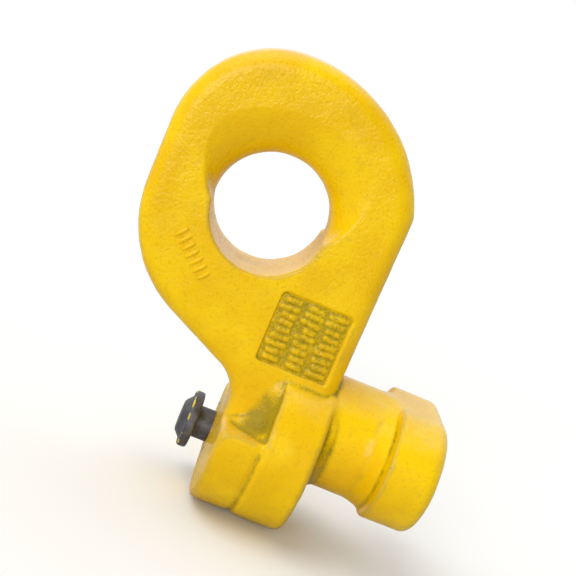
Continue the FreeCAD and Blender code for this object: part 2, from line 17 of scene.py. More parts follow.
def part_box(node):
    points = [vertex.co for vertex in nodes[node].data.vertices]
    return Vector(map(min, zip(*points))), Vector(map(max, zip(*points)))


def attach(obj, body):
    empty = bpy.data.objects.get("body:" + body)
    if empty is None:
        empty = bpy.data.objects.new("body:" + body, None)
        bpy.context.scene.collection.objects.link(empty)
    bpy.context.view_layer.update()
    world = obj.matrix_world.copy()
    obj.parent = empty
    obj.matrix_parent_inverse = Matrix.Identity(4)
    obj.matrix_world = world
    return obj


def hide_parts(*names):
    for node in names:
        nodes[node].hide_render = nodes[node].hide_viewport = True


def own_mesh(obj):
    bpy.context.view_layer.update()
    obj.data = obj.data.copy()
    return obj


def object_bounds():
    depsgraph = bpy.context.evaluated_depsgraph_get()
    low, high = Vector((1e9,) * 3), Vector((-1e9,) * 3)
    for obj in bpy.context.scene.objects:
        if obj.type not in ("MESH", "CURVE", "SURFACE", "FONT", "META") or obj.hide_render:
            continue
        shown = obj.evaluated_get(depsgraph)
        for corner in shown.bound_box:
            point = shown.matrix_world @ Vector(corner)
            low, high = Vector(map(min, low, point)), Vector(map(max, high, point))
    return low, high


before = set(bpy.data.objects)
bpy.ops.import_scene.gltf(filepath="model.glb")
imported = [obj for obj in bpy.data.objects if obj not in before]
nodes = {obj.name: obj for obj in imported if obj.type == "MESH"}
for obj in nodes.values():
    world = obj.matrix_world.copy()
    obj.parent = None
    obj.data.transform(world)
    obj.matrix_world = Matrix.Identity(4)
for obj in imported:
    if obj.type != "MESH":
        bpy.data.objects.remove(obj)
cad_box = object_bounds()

MM = 0.001
lowest, highest = Vector(cad_box[0]), Vector(cad_box[1])
print("CAD box in mm:", [round(v / MM, 1) for v in (*lowest, *highest)])

# %% [markdown]
# ## Camera
# The camera comes first, because it decides what has to look good. It stands half a metre away, a
# little to the plunger's side and a little above, so the near parts look larger than the far ones.
# It is rolled, so the lug seems to hang with its neck pointing down to the right.

# %% Camera
CAMERA_DISTANCE = 0.500
CAMERA_AZIMUTH = math.radians(5.3)
CAMERA_ELEVATION = math.radians(11.5)
CAMERA_ROLL = math.radians(23.4)
CAMERA_LENS = 77.2
AIM_OFFSET = Vector((-6.9, 0, 3.8)) * MM


def make_camera():
    """A camera that looks at a point near the middle of the lug, built from its own three axes."""
    aim = (lowest + highest) / 2 + AIM_OFFSET
    back = Vector((-math.sin(CAMERA_AZIMUTH) * math.cos(CAMERA_ELEVATION),
                   -math.cos(CAMERA_AZIMUTH) * math.cos(CAMERA_ELEVATION),
                   math.sin(CAMERA_ELEVATION)))
    right = Vector((0, 0, 1)).cross(back).normalized()
    up = back.cross(right)
    rolled_right = right * math.cos(CAMERA_ROLL) + up * math.sin(CAMERA_ROLL)
    rolled_up = back.cross(rolled_right)
    turn = Matrix((rolled_right, rolled_up, back)).transposed().to_4x4()
    data = bpy.data.cameras.new("camera")
    data.lens = CAMERA_LENS
    data.sensor_width = 36
    data.clip_start = 0.01
    camera = bpy.data.objects.new("camera", data)
    camera.matrix_world = Matrix.Translation(aim + back * CAMERA_DISTANCE) @ turn
    bpy.context.scene.collection.objects.link(camera)
    bpy.context.scene.camera = camera


make_camera()
print("camera distance to the aim in mm:", CAMERA_DISTANCE / MM)

# %% [markdown]
# ## Node helpers
# Colours are written as the hex values a painter's chart gives, and one function turns them linear.
# One function adds a node with its settings and its links, so a material or a Geometry Nodes tree
# reads as a recipe.

# %% Node helpers
def linear(hex_colour):
    """An sRGB hex colour such as 'F4C400' as linear RGBA."""
    channels = [int(hex_colour[i:i + 2], 16) / 255 for i in (0, 2, 4)]
    return [c / 12.92 if c <= 0.04045 else ((c + 0.055) / 1.055) ** 2.4 for c in channels] + [1.0]


def add_node(tree, kind, inputs=None, **settings):
    """Add a node. inputs maps a socket's name or number to a value, an output, or a node's first output."""
    node = tree.nodes.new(kind)
    for name, value in settings.items():
        setattr(node, name, value)
    for socket, value in (inputs or {}).items():
        if isinstance(value, bpy.types.Node):
            value = value.outputs[0]
        if isinstance(value, bpy.types.NodeSocket):
            tree.links.new(value, node.inputs[socket])
        else:
            node.inputs[socket].default_value = value
    return node


def new_material(name):
    """A material with an empty node tree."""
    material = bpy.data.materials.new(name)
    material.use_nodes = True
    material.node_tree.nodes.clear()
    return material


def per_mm(size):
    """A texture scale whose features are about size millimetres across, on Object coordinates."""
    return 1 / (size * MM)


# %% [markdown]
# ## Yellow enamel
# The lug is a steel casting, shot blasted and sprayed with thick yellow enamel. The paint follows the
# grain of the sand mould, so it has a fine orange peel under a gloss, rougher up on the eye than down on
# the flange. Handling leaves grime in the hollows, rubs the paint thin and chips it on the sharpest edges,
# and lays dust on ledges. The hollows are also painted darker, olive to brown, as painted shade, and the
# faces that turn up get a pale painted highlight along with the dust. Two numbers on every point of the
# mesh, hollow and edge, say where those marks belong, so the paint needs no image. Noise breaks their
# outlines up. The material is built from three small tables, because it is many layers of the same few
# kinds of node.

# %% Yellow enamel
# Real orange peel is about 0.5 mm across. It is drawn at 1.15 mm, because finer peel doesn't show.
# Name, feature size in millimetres, detail, roughness.
ENAMEL_NOISES = (
    ("clouds", 26, 2.0, 0.5),
    ("peel", 1.15, 2.0, 0.5),
    ("blotch", 5.5, 4.0, 0.65),
    ("speck", 0.9, 2.0, 0.7),
    ("fine", 0.8, 2.0, 0.5),
)
# Name, then a field times a number plus another field.
ENAMEL_SUMS = (
    # The next four sums feed the darker hollows: grime, and painted shade.
    ("filmed_and_shaded", "blotch", 0.5, "hollow"),
    ("gritty_and_shaded", "speck", 1.1, "filmed_and_shaded"),
    ("dirty_and_shaded", "hollow", 0.2, "gritty_and_shaded"),
    ("deepest", "speck", 0.8, "hollow"),
    ("rubbing", "blotch", 0.8, "edge"),
    ("knocked", "blotch", 1.2, "edge"),
    ("chipped", "speck", 0.5, "knocked"),
    ("skin", "fine", 0.3, "peel"),
)
# Name, then a smooth step of a field: from low to high, giving a first to a last value.
ENAMEL_STEPS = (
    ("uneven", "clouds", 0.35, 0.65, 0.0, 1.0),
    ("pits", "peel", 0.47, 0.30, 0.0, 0.4),
    ("tint", "blotch", 0.54, 0.76, 0.0, 0.3),
    # The next three darken the hollows, olive to brown: grime, and painted shade.
    ("film_and_shade", "filmed_and_shaded", 0.35, 0.95, 0.0, 0.8),
    ("dirt_and_shade", "dirty_and_shaded", 1.2, 1.55, 0.0, 0.6),
    ("deep", "deepest", 1.08, 1.5, 0.0, 0.5),
    # The next three lay pale dust and a painted highlight on the faces that turn up.
    ("facing_up", "upward", 0.55, 0.95, 0.0, 1.0),
    ("patchy", "blotch", 0.25, 0.75, 0.1, 0.85),
    ("open_faces", "hollow", 0.1, 0.4, 0.25, 0.05),
    ("rubbed", "rubbing", 0.85, 1.15, 0.0, 0.45),
    ("chip", "chipped", 2.02, 2.1, 0.0, 1.0),
    ("shine", "blotch", 0.35, 0.7, 0.18, 0.30),
    ("rough_eye", "level", -0.01, 0.09, 0.4, 1.0),
)
# The colours from the bottom up: the share of each is a field.
ENAMEL_YELLOW = "F0BE00"
ENAMEL_LAYERS = (
    ("FACD02", "uneven"),
    ("DCA900", "pits"),
    ("CDAE06", "tint"),
    # Olive, dark olive and brown in the hollows: grime, and painted shade.
    ("B89C08", "film_and_shade"),
    ("87790F", "dirt_and_shade"),
    ("5E4614", "deep"),
    # Pale on the faces that turn up: dust, and a painted highlight.
    ("E2D9B4", "dust_and_sheen"),
    ("BFA23C", "rubbed"),
    ("857A62", "chip"),
)
DIRT_DULLS = 0.5
PEEL_HEIGHT = 0.24 * MM


def enamel_fields(tree):
    """Every number the enamel's layers are laid by, as a dict of node outputs."""
    place = add_node(tree, "ShaderNodeTexCoord").outputs["Object"]
    normal = add_node(tree, "ShaderNodeNewGeometry").outputs["Normal"]
    field = {
        "hollow": add_node(tree, "ShaderNodeAttribute", attribute_name="hollow").outputs["Fac"],
        "edge": add_node(tree, "ShaderNodeAttribute", attribute_name="edge").outputs["Fac"],
        "upward": add_node(tree, "ShaderNodeSeparateXYZ", {"Vector": normal}).outputs["Z"],
        "level": add_node(tree, "ShaderNodeSeparateXYZ", {"Vector": place}).outputs["Z"],
    }
    for name, size, detail, roughness in ENAMEL_NOISES:
        field[name] = add_node(tree, "ShaderNodeTexNoise", {"Vector": place, "Scale": per_mm(size),
                                                            "Detail": detail, "Roughness": roughness})
    for name, first, factor, second in ENAMEL_SUMS:
        field[name] = add_node(tree, "ShaderNodeMath", {0: field[first], 1: factor, 2: field[second]},
                               operation="MULTIPLY_ADD")
    for name, value, low, high, first, last in ENAMEL_STEPS:
        field[name] = add_node(tree, "ShaderNodeMapRange",
                               {"Value": field[value], "From Min": low, "From Max": high,
                                "To Min": first, "To Max": last}, interpolation_type="SMOOTHSTEP")
    # Pale dust and a painted highlight on the faces that turn up, less of both in the hollows.
    dust_and_sheen = add_node(tree, "ShaderNodeMath", {0: field["facing_up"], 1: field["patchy"]},
                    operation="MULTIPLY")
    field["dust_and_sheen"] = add_node(tree, "ShaderNodeMath", {0: dust_and_sheen, 1: field["open_faces"]}, operation="MULTIPLY")
    return field


def make_enamel():
    """Gloss enamel on sand-cast steel: clear yellow, slightly uneven, with grime and painted shade in its
    hollows.
    """
    material = new_material("yellow_enamel_on_cast_steel")
    tree = material.node_tree
    field = enamel_fields(tree)
    paint = linear(ENAMEL_YELLOW)
    for colour, share in ENAMEL_LAYERS:
        layer = add_node(tree, "ShaderNodeMix", {0: field[share], 6: paint, 7: linear(colour)},
                         data_type="RGBA")
        paint = layer.outputs[2]
    gloss = add_node(tree, "ShaderNodeMath", {0: field["dirt_and_shade"], 1: DIRT_DULLS, 2: field["shine"]},
                     operation="MULTIPLY_ADD")
    height = add_node(tree, "ShaderNodeMath", {0: field["skin"], 1: field["rough_eye"]},
                      operation="MULTIPLY")
    bump = add_node(tree, "ShaderNodeBump", {"Strength": 1.0, "Distance": PEEL_HEIGHT, "Height": height})
    shader = add_node(tree, "ShaderNodeBsdfPrincipled",
                      {"Base Color": paint, "Roughness": gloss, "IOR": 1.5, "Specular IOR Level": 0.24,
                       "Normal": bump})
    add_node(tree, "ShaderNodeOutputMaterial", {"Surface": shader})
    return material


enamel = make_enamel()
print("made", enamel.name, "with", len(ENAMEL_LAYERS), "layers over the yellow")

# %% [markdown]
# ## Steels
# The plunger and its knob are turned steel with a dull grey oxide skin. The knob's outer edge is scuffed
# with yellow from the painted parts it knocks against. The hidden small parts are spring steel, bright
# zinc and black oxide. All four are one recipe with other numbers: two tones in fine noise, and turning
# marks round the plunger's axis. Real turning marks are about 0.2 mm apart, too fine to show, so they
# are drawn 0.5 to 0.9 mm apart.

# %% Steels
TONE_SIZE = 3.5
SCUFF_SIZE = 3.2
SCUFF_COLOUR = "E4C93A"


def make_steel(name, dark, light, roughness, metallic, ring_gap, scuffed=False):
    """A steel finish. dark and light are its two tones, and ring_gap its turning marks' pitch in mm."""
    material = new_material(name)
    tree = material.node_tree
    place = add_node(tree, "ShaderNodeTexCoord").outputs["Object"]
    tone = add_node(tree, "ShaderNodeTexNoise", {"Vector": place, "Scale": per_mm(TONE_SIZE),
                                                 "Detail": 4.0, "Roughness": 0.65})
    share = add_node(tree, "ShaderNodeMapRange", {"Value": tone, "From Min": 0.35, "From Max": 0.68},
                     interpolation_type="SMOOTHSTEP")
    colour = add_node(tree, "ShaderNodeMix", {0: share, 6: linear(dark), 7: linear(light)},
                      data_type="RGBA").outputs[2]
    if scuffed:
        dashes = add_node(tree, "ShaderNodeTexNoise", {"Vector": place, "Scale": per_mm(SCUFF_SIZE),
                                                       "Detail": 1.0, "Roughness": 0.5})
        edge = add_node(tree, "ShaderNodeAttribute", attribute_name="edge").outputs["Fac"]
        rub = add_node(tree, "ShaderNodeMath", {0: dashes, 1: 0.9, 2: edge}, operation="MULTIPLY_ADD")
        scuff = add_node(tree, "ShaderNodeMapRange", {"Value": rub, "From Min": 1.40, "From Max": 1.45},
                         interpolation_type="SMOOTHSTEP")
        colour = add_node(tree, "ShaderNodeMix", {0: scuff, 6: colour, 7: linear(SCUFF_COLOUR)},
                          data_type="RGBA").outputs[2]
    gloss = add_node(tree, "ShaderNodeMapRange",
                     {"Value": tone, "From Min": 0.3, "From Max": 0.7,
                      "To Min": roughness - 0.06, "To Max": roughness + 0.08},
                     interpolation_type="SMOOTHSTEP")
    rings = add_node(tree, "ShaderNodeTexWave", {"Vector": place, "Scale": per_mm(ring_gap) / (2 * math.pi),
                                                 "Distortion": 1.5, "Detail": 2.0},
                     bands_direction="X").outputs["Fac"]
    bump = add_node(tree, "ShaderNodeBump", {"Strength": 0.5, "Distance": 0.03 * MM, "Height": rings})
    shader = add_node(tree, "ShaderNodeBsdfPrincipled",
                      {"Base Color": colour, "Metallic": metallic, "Roughness": gloss, "Normal": bump})
    add_node(tree, "ShaderNodeOutputMaterial", {"Surface": shader})
    return material


steels = {
    "grey_steel": make_steel("oxide_grey_turned_steel", "4B4A4F", "66656A", 0.48, 0.35, 0.9, scuffed=True),
    "spring_steel": make_steel("oiled_spring_steel", "3C3A38", "6A6764", 0.34, 1.0, 0.5),
    "zinc": make_steel("bright_zinc_plate", "A9ABA8", "CFD0CA", 0.28, 1.0, 0.5),
    "black_oxide": make_steel("black_oxide_screw_steel", "1E1F21", "34363A", 0.42, 0.6, 0.5),
}
print("made", ", ".join(material.name for material in steels.values()))

# %% [markdown]
# ## The cast skin
# A casting has no sharp edge: sand rounds them, and its faces swell and dip by tenths of a millimetre.
# The CAD mesh is long thin triangles, which can't bend like that. So its copy is remeshed into small even
# squares, softened, and then swelled by a small Geometry Nodes tree. Only the drilled holes stay true:
# their points are put back on the CAD surface.

# %% Mesh helpers
def link(name, mesh):
    """An object for a mesh, in the scene, at the origin."""
    piece = bpy.data.objects.new(name, mesh)
    bpy.context.scene.collection.objects.link(piece)
    return piece


def apply_modifiers(piece):
    """Give a piece the plain mesh that its modifiers make, and remove them."""
    mesh = bpy.data.meshes.new_from_object(piece.evaluated_get(bpy.context.evaluated_depsgraph_get()))
    piece.modifiers.clear()
    piece.data = mesh
    return mesh


def remesh(piece, size):
    """Cover a closed shape with even squares."""
    modifier = piece.modifiers.new("even_squares", "REMESH")
    modifier.mode = "VOXEL"
    modifier.voxel_size = size
    apply_modifiers(piece)


def read_points(mesh):
    points = np.empty(len(mesh.vertices) * 3)
    mesh.vertices.foreach_get("co", points)
    return points.reshape(-1, 3)


def read_edges(mesh):
    edges = np.empty(len(mesh.edges) * 2, dtype=np.int64)
    mesh.edges.foreach_get("vertices", edges)
    return edges.reshape(-1, 2)


def read_normals(mesh):
    normals = np.empty(len(mesh.vertices) * 3)
    mesh.vertices.foreach_get("normal", normals)
    return normals.reshape(-1, 3)


def soften(values, edges, rounds, share=0.5):
    """Pull every row of values towards the mean of its neighbours' rows, a number of times."""
    count = len(values)
    neighbours = np.bincount(edges.ravel(), minlength=count)
    for _ in range(rounds):
        mean = np.column_stack([
            (np.bincount(edges[:, 0], column[edges[:, 1]], count)
             + np.bincount(edges[:, 1], column[edges[:, 0]], count)) / neighbours
            for column in values.T])
        values = values + share * (mean - values)
    return values


def count_triangles(mesh):
    return sum(len(face.vertices) - 2 for face in mesh.polygons)


def write_number(mesh, name, values):
    attribute = mesh.attributes.new(name, "FLOAT", "POINT")
    attribute.data.foreach_set("value", np.clip(values, 0, 1).astype(np.float32))


def read_number(mesh, name):
    values = np.empty(len(mesh.vertices))
    mesh.attributes[name].data.foreach_get("value", values)
    return values


def mark_wear(mesh, spread, depth, extra_dirt_and_shade=0.0, worn=1.0):
    """Write hollow and edge: how far each point lies inside or outside its softened surroundings.

    spread is the number of softening rounds, and depth the distance that counts as full. The extra number
    is added to hollow everywhere; the enamel draws hollow as grime and painted shade. worn is the share of
    the edge's wear that each point keeps.
    """
    points, edges, normals = read_points(mesh), read_edges(mesh), read_normals(mesh)
    rise = np.einsum("ij,ij->i", soften(points, edges, spread) - points, normals) / depth
    rise = soften(rise[:, None], edges, 2)[:, 0]
    # hollow darkens the enamel: grime, and painted shade.
    write_number(mesh, "hollow", rise + extra_dirt_and_shade)
    write_number(mesh, "edge", -rise * worn)


# %% The swelling tree
def new_tree(name, numbers):
    """A Geometry Nodes tree with named number inputs. Gives the tree and its input node's outputs."""
    tree = bpy.data.node_groups.new(name, "GeometryNodeTree")
    tree.interface.new_socket("Geometry", in_out="INPUT", socket_type="NodeSocketGeometry")
    for label, value in numbers.items():
        kind = "NodeSocketInt" if isinstance(value, int) else "NodeSocketFloat"
        tree.interface.new_socket(label, in_out="INPUT", socket_type=kind).default_value = value
    tree.interface.new_socket("Geometry", in_out="OUTPUT", socket_type="NodeSocketGeometry")
    return tree, add_node(tree, "NodeGroupInput").outputs


def run_tree(piece, tree, numbers, material):
    """Run a tree on a piece, set its inputs by identifier, and keep the mesh it makes."""
    modifier = piece.modifiers.new(tree.name, "NODES")
    modifier.node_group = tree
    for socket in tree.interface.items_tree:
        if socket.in_out == "INPUT" and socket.name in numbers:
            modifier[socket.identifier] = numbers[socket.name]
    mesh = apply_modifiers(piece)
    mesh.materials.clear()
    mesh.materials.append(material)
    mesh.shade_smooth()
    return mesh


def make_skin_tree():
    """Push every point in or out along its normal by two sizes of noise, where it isn't machined."""
    tree, given = new_tree("cast_skin", {"Swell size": 9 * MM, "Swell height": 0.4 * MM,
                                         "Grain size": 2.6 * MM, "Grain height": 0.12 * MM})
    place = add_node(tree, "GeometryNodeInputPosition")
    pushes = []
    for layer in ("Swell", "Grain"):
        scale = add_node(tree, "ShaderNodeMath", {0: 1.0, 1: given[f"{layer} size"]}, operation="DIVIDE")
        field = add_node(tree, "ShaderNodeTexNoise", {"Vector": place, "Scale": scale, "Detail": 1.0})
        centred = add_node(tree, "ShaderNodeMath", {0: field, 1: 0.5}, operation="SUBTRACT")
        pushes.append(add_node(tree, "ShaderNodeMath", {0: centred, 1: given[f"{layer} height"]},
                               operation="MULTIPLY"))
    machined = add_node(tree, "GeometryNodeInputNamedAttribute", {"Name": "machined"}, data_type="FLOAT")
    free = add_node(tree, "ShaderNodeMath", {0: 1.0, 1: machined.outputs["Attribute"]}, operation="SUBTRACT")
    both = add_node(tree, "ShaderNodeMath", {0: pushes[0], 1: pushes[1]}, operation="ADD")
    push = add_node(tree, "ShaderNodeMath", {0: both, 1: free}, operation="MULTIPLY")
    normal = add_node(tree, "GeometryNodeInputNormal")
    offset = add_node(tree, "ShaderNodeVectorMath", {0: normal, "Scale": push}, operation="SCALE")
    moved = add_node(tree, "GeometryNodeSetPosition",
                     {"Geometry": given["Geometry"], "Offset": offset})
    add_node(tree, "NodeGroupOutput", {0: moved})
    return tree


skin_tree = make_skin_tree()
print("made the tree", skin_tree.name)

# %% [markdown]
# ## The lug
# On the real casting the eye, plate, flange, neck and head are one pour, with a generous fillet where the
# plate meets the mount, and a shallow line where the boss grows out of the flange. The copy of the CAD
# mesh gets all of that by moving its points: a few rounds of softening for the edges, many rounds for
# the fillets but only where the surface is hollow, and a groove for the line. The panel's rim stays crisper,
# as its core leaves it. At the end the flat parts lose some triangles that they don't need.

# %% Sizes of the cast skin
PANEL_MIDDLE = Vector((-22.2, -16.5, 36.2)) * MM
PANEL_SIDE = 30.4 * MM
PANEL_BORDER = 2 * MM
LUG_SQUARE = 0.75 * MM
LUG_KEPT = 0.74
DRILLED_REACH = 11.4 * MM
EDGE_ROUNDS = 3
CRISP_SHARE = 0.35
FILLET_ROUNDS = 220
FILLET_BLEND_ROUNDS = 4
FILLET_FULL_RISE = 0.8 * MM
FILLET_TOP = 19 * MM
FILLET_FRONT = 22 * MM
FILLET_FADE = 5 * MM
SEAM_PLACE = -22 * MM
SEAM_HALF_WIDTH = 2.6 * MM
SEAM_DEPTH = 0.7 * MM
SEAM_REACH = 30 * MM
SEAM_TOP = -6 * MM
MOUNT_MIDDLE = -12.5 * MM
# How much the filled corners add to hollow, which darkens them: grime, and painted shade.
CORNER_DIRT_AND_SHADE = 0.42
CORNER_ROUNDS = 40
WEAR_SPREAD = 45
WEAR_DEPTH = 0.9 * MM
print("lug squares in mm:", LUG_SQUARE / MM, " seam depth in mm:", round(SEAM_DEPTH / MM, 2))


# %% The lug
def copy_skin(node, name):
    """A copy of a CAD node's mesh, with its loose triangles joined into one skin."""
    mesh = node.data.copy()
    skin = bmesh.new()
    skin.from_mesh(mesh)
    bmesh.ops.remove_doubles(skin, verts=skin.verts, dist=0.001 * MM)
    skin.to_mesh(mesh)
    skin.free()
    return link(name, mesh)


def keep_drilled_holes_true(mesh, surface, axis_place):
    """Put the points in the plunger's drilled holes back on the CAD surface. Gives a mask of them."""
    points = read_points(mesh)
    reach = np.hypot(points[:, 1] - axis_place.y, points[:, 2] - axis_place.z)
    drilled = reach < DRILLED_REACH
    for index in np.flatnonzero(drilled):
        nearest, normal, _, _ = surface.find_nearest(Vector(points[index]))
        # Only a hole's wall counts, not the flat face round its mouth.
        if abs(normal.x) < 0.5:
            points[index] = nearest
        else:
            drilled[index] = False
    mesh.vertices.foreach_set("co", points.ravel())
    mesh.update()
    return drilled


def seam_depth(points):
    """The depth of the soft groove round the mount, where the boss grows out of the flange's back."""
    from_seam = np.abs(points[:, 0] - SEAM_PLACE) / SEAM_HALF_WIDTH
    groove = np.clip(1 - from_seam ** 2, 0, 1) ** 2
    outside = np.hypot(points[:, 1], points[:, 2] - MOUNT_MIDDLE) > SEAM_REACH
    below = np.clip((SEAM_TOP - points[:, 2]) / FILLET_FADE, 0, 1)
    return SEAM_DEPTH * groove * outside * below


def soften_casting(mesh):
    """Round every edge a little, and fill the mount's inside corners with deep cast fillets.

    Gives how much each point was filled, because the enamel is drawn darker in the same corners: grime, and
    painted shade.
    """
    points, edges, normals = read_points(mesh), read_edges(mesh), read_normals(mesh)
    soft = soften(points, edges, EDGE_ROUNDS)
    from_panel = np.abs(points - np.array(PANEL_MIDDLE)).max(axis=1)
    crisp = from_panel < PANEL_SIDE / 2 + PANEL_BORDER
    points = np.where(crisp[:, None], points + CRISP_SHARE * (soft - points), soft)
    filled = soften(points, edges, FILLET_ROUNDS)
    rise = np.einsum("ij,ij->i", filled - points, normals)
    share = np.clip(rise / FILLET_FULL_RISE, 0, 1)
    share *= np.clip((FILLET_TOP - points[:, 2]) / FILLET_FADE, 0, 1)
    share *= np.clip((FILLET_FRONT - points[:, 0]) / FILLET_FADE, 0, 1)
    share = soften(share[:, None], edges, FILLET_BLEND_ROUNDS)
    points += share * (filled - points)
    points -= seam_depth(points)[:, None] * normals
    mesh.vertices.foreach_set("co", points.ravel())
    mesh.update()
    return soften(share, edges, CORNER_ROUNDS)[:, 0]


def make_lug():
    """The casting: remeshed, softened like sand-cast steel, and swelled."""
    lug = copy_skin(nodes["lug_body"], "cast_lug")
    surface = BVHTree.FromObject(lug, bpy.context.evaluated_depsgraph_get())
    remesh(lug, LUG_SQUARE)
    mesh = lug.data
    write_number(mesh, "corner", soften_casting(mesh))
    plunger_low, plunger_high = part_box("plunger")
    axis_place = (Vector(plunger_low) + Vector(plunger_high)) / 2
    drilled = keep_drilled_holes_true(mesh, surface, axis_place)
    write_number(mesh, "machined", soften(drilled.astype(float)[:, None], read_edges(mesh), 2)[:, 0])
    mesh = run_tree(lug, skin_tree, {}, enamel)
    # The filled corners are drawn darker: grime, and painted shade.
    mark_wear(mesh, WEAR_SPREAD, WEAR_DEPTH, CORNER_DIRT_AND_SHADE * read_number(mesh, "corner"))
    thin = lug.modifiers.new("fewer_triangles", "DECIMATE")
    thin.ratio = LUG_KEPT
    apply_modifiers(lug).shade_smooth()
    return lug


lug = make_lug()
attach(lug, "lug")
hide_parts("lug_body")
print("cast lug triangles:", count_triangles(lug.data))

# %% [markdown]
# ## Raised cast marks
# Sunk in the lug's side is a square panel of raised marks, which a foundry casts so they can't wear
# off. A row of ticks stands beside the eye. These marks are plain bars and say nothing. They are rows of
# pillow shapes, so a Geometry Nodes tree lays them out: a grid of points, one bar on each point that is
# kept, each with its own length and tilt from a fixed seed. The bars in the panel get a thin base sheet
# and are remeshed with it, so they grow out of the floor as cast metal does.

# %% The marks tree
# What is drawn for each bar, the lowest number or the input that gives it, and the highest number. Each
# draw adds its place in this list to the seed.
DRAWS = (("kept", 0.0, 1.0), ("share", "Shortest", 1.0), ("tilt", -1.0, 1.0), ("slide", -0.5, 0.5))


def make_marks_tree():
    """Rows of pillow-shaped bars on a grid in the XY plane, standing up along Z."""
    tree, given = new_tree("raised_marks", {
        "Columns": 3, "Rows": 9, "Column pitch": 9.8 * MM, "Row pitch": 3.1 * MM,
        "Bar length": 9.6 * MM, "Bar width": 2.7 * MM, "Bar height": 1.9 * MM,
        "Shortest": 0.6, "Kept": 1.0, "Tilt": 0.14, "Seed": 7})
    spans = []
    for count, pitch in (("Columns", "Column pitch"), ("Rows", "Row pitch")):
        gaps = add_node(tree, "ShaderNodeMath", {0: given[count], 1: 1}, operation="SUBTRACT")
        spans.append(add_node(tree, "ShaderNodeMath", {0: gaps, 1: given[pitch]}, operation="MULTIPLY"))
    grid = add_node(tree, "GeometryNodeMeshGrid",
                    {"Size X": spans[0], "Size Y": spans[1],
                     "Vertices X": given["Columns"], "Vertices Y": given["Rows"]})
    size = add_node(tree, "ShaderNodeCombineXYZ",
                    {"X": given["Bar length"], "Y": given["Bar width"], "Z": given["Bar height"]})
    block = add_node(tree, "GeometryNodeMeshCube", {"Size": size, "Vertices X": 5})
    bar = add_node(tree, "GeometryNodeSubdivisionSurface", {"Mesh": block, "Level": 2})
    drawn = {}
    for number, (name, low, high) in enumerate(DRAWS, start=1):
        seed = add_node(tree, "ShaderNodeMath", {0: given["Seed"], 1: number}, operation="ADD")
        low = given[low] if isinstance(low, str) else low
        drawn[name] = add_node(tree, "FunctionNodeRandomValue", {2: low, 3: high, "Seed": seed},
                               data_type="FLOAT").outputs[1]
    kept = add_node(tree, "ShaderNodeMath", {0: drawn["kept"], 1: given["Kept"]}, operation="LESS_THAN")
    tilt = add_node(tree, "ShaderNodeMath", {0: drawn["tilt"], 1: given["Tilt"]}, operation="MULTIPLY")
    angles = add_node(tree, "ShaderNodeCombineXYZ", {"Z": tilt})
    turn = add_node(tree, "FunctionNodeEulerToRotation", {0: angles})
    scale = add_node(tree, "ShaderNodeCombineXYZ", {"X": drawn["share"], "Y": 1.0, "Z": 1.0})
    placed = add_node(tree, "GeometryNodeInstanceOnPoints",
                      {"Points": grid, "Selection": kept, "Instance": bar,
                       "Rotation": turn, "Scale": scale})
    missing = add_node(tree, "ShaderNodeMath", {0: 1.0, 1: drawn["share"]}, operation="SUBTRACT")
    spare = add_node(tree, "ShaderNodeMath", {0: missing, 1: given["Bar length"]}, operation="MULTIPLY")
    slide = add_node(tree, "ShaderNodeMath", {0: spare, 1: drawn["slide"]}, operation="MULTIPLY")
    shift = add_node(tree, "ShaderNodeCombineXYZ", {"X": slide})
    moved = add_node(tree, "GeometryNodeTranslateInstances", {"Instances": placed, "Translation": shift})
    real = add_node(tree, "GeometryNodeRealizeInstances", {0: moved})
    dressed = add_node(tree, "GeometryNodeSetMaterial", {"Geometry": real, "Material": enamel})
    add_node(tree, "NodeGroupOutput", {0: dressed})
    return tree


marks_tree = make_marks_tree()
print("made the tree", marks_tree.name)

# %% The marks
MARK_SQUARE = 0.32 * MM
MARK_ROUNDS = 7
SHEET_PROUD = 0.4 * MM
SHEET_THICKNESS = 1.2 * MM
# How much the panel's sheet and the ticks add to hollow, which darkens them: grime, and painted shade.
SHEET_DIRT_AND_SHADE = 0.47
TICK_DIRT_AND_SHADE = 0.12
MARK_WEAR_SPREAD = 30
MARK_WEAR_DEPTH = 1.5 * MM
TICKS_MIDDLE = Vector((-75.8, -18.0, 50.9)) * MM
TICKS_TURN = math.radians(42)
MARK_SKIN = {"Swell size": 3.4 * MM, "Swell height": 0.6 * MM,
             "Grain size": 1.3 * MM, "Grain height": 0.3 * MM}
TICKS = {"Columns": 7, "Rows": 1, "Column pitch": 3.2 * MM, "Row pitch": 1 * MM,
         "Bar length": 2.0 * MM, "Bar width": 7.4 * MM, "Bar height": 2.0 * MM,
         "Shortest": 0.85, "Kept": 1.0, "Tilt": 0.03, "Seed": 3}


def add_sheet(mesh, side, thickness):
    """Add a thin square slab under the bars, its top at Z = 0."""
    sheet = bmesh.new()
    sheet.from_mesh(mesh)
    slab = bmesh.ops.create_cube(sheet, size=1.0)
    bmesh.ops.scale(sheet, vec=(side, side, thickness), verts=slab["verts"])
    bmesh.ops.translate(sheet, vec=(0, 0, -thickness / 2), verts=slab["verts"])
    sheet.to_mesh(mesh)
    sheet.free()


